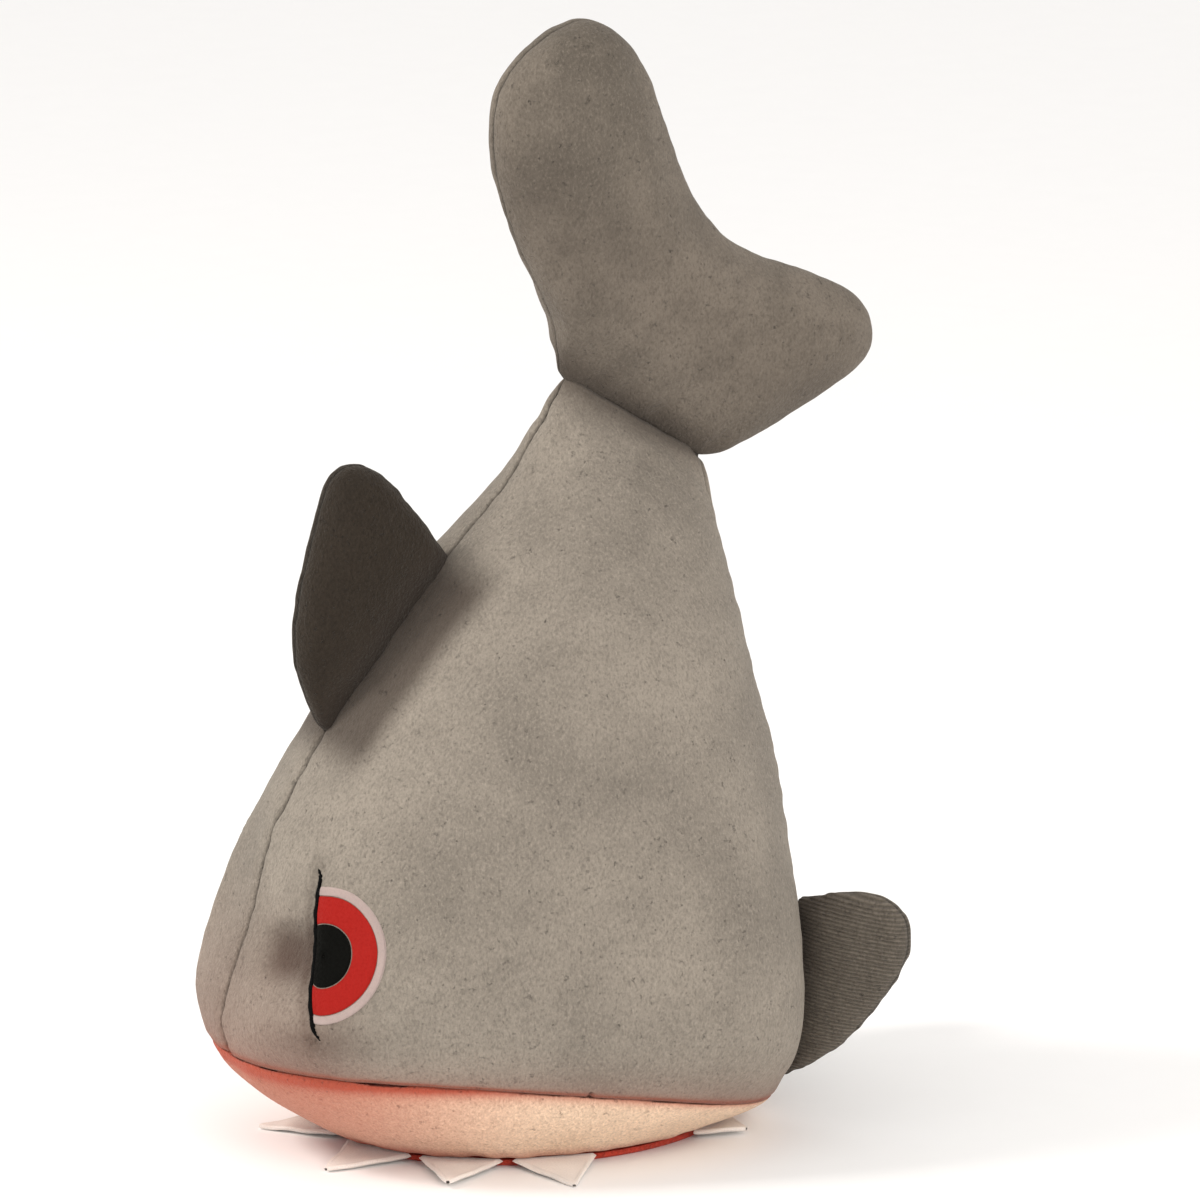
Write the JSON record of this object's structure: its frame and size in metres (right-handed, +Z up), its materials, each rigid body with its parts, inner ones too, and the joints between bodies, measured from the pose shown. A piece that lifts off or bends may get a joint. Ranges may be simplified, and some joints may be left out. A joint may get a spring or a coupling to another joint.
{
  "type": "plush shark head cover",
  "caption": "Stuffed plush shark worn as a head cover: open mouth with felt teeth and lined head hollow below, fins that fold, tail that flops.",
  "frame": {"origin": "centre of the head opening, on the plane that the mouth's rim rests on", "axes": "+Z up from the mouth to the tail, -X towards the nose and back, +X towards the belly, -Y towards the shark's left side"},
  "size_m": [0.3676, 0.259, 0.5778],
  "materials": {
    "velvet_gray": "matte",
    "velvet_dark": "matte",
    "velvet_cream": "matte",
    "lining_red": "matte",
    "felt_white": "matte",
    "fibre_fill": "matte",
    "thread_white": "satin",
    "thread_iris": "satin",
    "thread_pupil": "satin",
    "thread_brow": "satin"
  },
  "bodies": {
    "body": {"belly_panel": "velvet_gray", "body_filling": "fibre_fill", "eye_brow_left": "thread_brow", "eye_brow_right": "thread_brow", "eye_iris_left": "thread_iris", "eye_iris_right": "thread_iris", "eye_pupil_left": "thread_pupil", "eye_pupil_right": "thread_pupil", "eye_white_left": "thread_white", "eye_white_right": "thread_white", "head_filling": "fibre_fill", "lip_cover": "velvet_cream", "lip_padding": "fibre_fill", "mouth_lining": "lining_red", "side_panel_left": "velvet_gray", "side_panel_right": "velvet_gray"},
    "tail": {"tail_filling": "fibre_fill", "tail_left_face": "velvet_gray", "tail_right_face": "velvet_gray"},
    "dorsal_fin": {"dorsal_fin_filling": "fibre_fill", "dorsal_fin_left_face": "velvet_dark", "dorsal_fin_right_face": "velvet_dark"},
    "pectoral_left": {"pectoral_left_filling": "fibre_fill", "pectoral_left_front_face": "velvet_dark", "pectoral_left_rear_face": "velvet_dark"},
    "pectoral_right": {"pectoral_right_filling": "fibre_fill", "pectoral_right_front_face": "velvet_dark", "pectoral_right_rear_face": "velvet_dark"},
    "tooth_lower_left_1": {"tooth_lower_left_1": "felt_white"},
    "tooth_lower_right_1": {"tooth_lower_right_1": "felt_white"},
    "tooth_upper_left_1": {"tooth_upper_left_1": "felt_white"},
    "tooth_upper_left_2": {"tooth_upper_left_2": "felt_white"},
    "tooth_upper_left_3": {"tooth_upper_left_3": "felt_white"},
    "tooth_upper_right_1": {"tooth_upper_right_1": "felt_white"},
    "tooth_upper_right_2": {"tooth_upper_right_2": "felt_white"},
    "tooth_upper_right_3": {"tooth_upper_right_3": "felt_white"}
  },
  "joints": [
    {"name": "tail_flop", "type": "hinge", "parent": "body", "child": "tail", "pos_m": [0.0575, 0, 0.368], "axis": [0.8509, 0, -0.5253], "range_deg": [-55, 55], "stiffness_Nm_per_rad": 0.35},
    {"name": "dorsal_fin_fold", "type": "hinge", "parent": "body", "child": "dorsal_fin", "pos_m": [-0.08663, 0, 0.2605], "axis": [0.6225, 0, 0.7826], "range_deg": [-45, 45], "stiffness_Nm_per_rad": 0.06},
    {"name": "pectoral_left_flap", "type": "hinge", "parent": "body", "child": "pectoral_left", "pos_m": [0.12446, -0.05565, 0.06663], "axis": [-0.111, 0.0337, -0.9933], "range_deg": [-50, 1], "stiffness_Nm_per_rad": 0.03},
    {"name": "pectoral_right_flap", "type": "hinge", "parent": "body", "child": "pectoral_right", "pos_m": [0.12446, 0.05565, 0.06663], "axis": [0.111, 0.0337, 0.9933], "range_deg": [-50, 1], "stiffness_Nm_per_rad": 0.03},
    {"name": "tooth_lower_left_1_fold", "type": "hinge", "parent": "body", "child": "tooth_lower_left_1", "pos_m": [0.0751, -0.05856, 0.0037], "axis": [-0.7886, -0.6149, 0], "range_deg": [-80, 12], "stiffness_Nm_per_rad": 0.002},
    {"name": "tooth_lower_right_1_fold", "type": "hinge", "parent": "body", "child": "tooth_lower_right_1", "pos_m": [0.0751, 0.05856, 0.0037], "axis": [0.7886, -0.6149, 0], "range_deg": [-80, 12], "stiffness_Nm_per_rad": 0.002},
    {"name": "tooth_upper_left_1_fold", "type": "hinge", "parent": "body", "child": "tooth_upper_left_1", "pos_m": [-0.02429, -0.08055, 0.0037], "axis": [-0.9836, 0.1803, 0], "range_deg": [-80, 12], "stiffness_Nm_per_rad": 0.002},
    {"name": "tooth_upper_left_2_fold", "type": "hinge", "parent": "body", "child": "tooth_upper_left_2", "pos_m": [-0.06879, -0.06258, 0.0037], "axis": [-0.8314, 0.5557, 0], "range_deg": [-80, 12], "stiffness_Nm_per_rad": 0.002},
    {"name": "tooth_upper_left_3_fold", "type": "hinge", "parent": "body", "child": "tooth_upper_left_3", "pos_m": [-0.09892, -0.02676, 0.0037], "axis": [-0.4064, 0.9137, 0], "range_deg": [-80, 12], "stiffness_Nm_per_rad": 0.002},
    {"name": "tooth_upper_right_1_fold", "type": "hinge", "parent": "body", "child": "tooth_upper_right_1", "pos_m": [-0.02429, 0.08055, 0.0037], "axis": [0.9836, 0.1803, 0], "range_deg": [-80, 12], "stiffness_Nm_per_rad": 0.002},
    {"name": "tooth_upper_right_2_fold", "type": "hinge", "parent": "body", "child": "tooth_upper_right_2", "pos_m": [-0.06879, 0.06258, 0.0037], "axis": [0.8314, 0.5557, 0], "range_deg": [-80, 12], "stiffness_Nm_per_rad": 0.002},
    {"name": "tooth_upper_right_3_fold", "type": "hinge", "parent": "body", "child": "tooth_upper_right_3", "pos_m": [-0.09892, 0.02676, 0.0037], "axis": [0.4064, 0.9137, 0], "range_deg": [-80, 12], "stiffness_Nm_per_rad": 0.002}
  ]
}
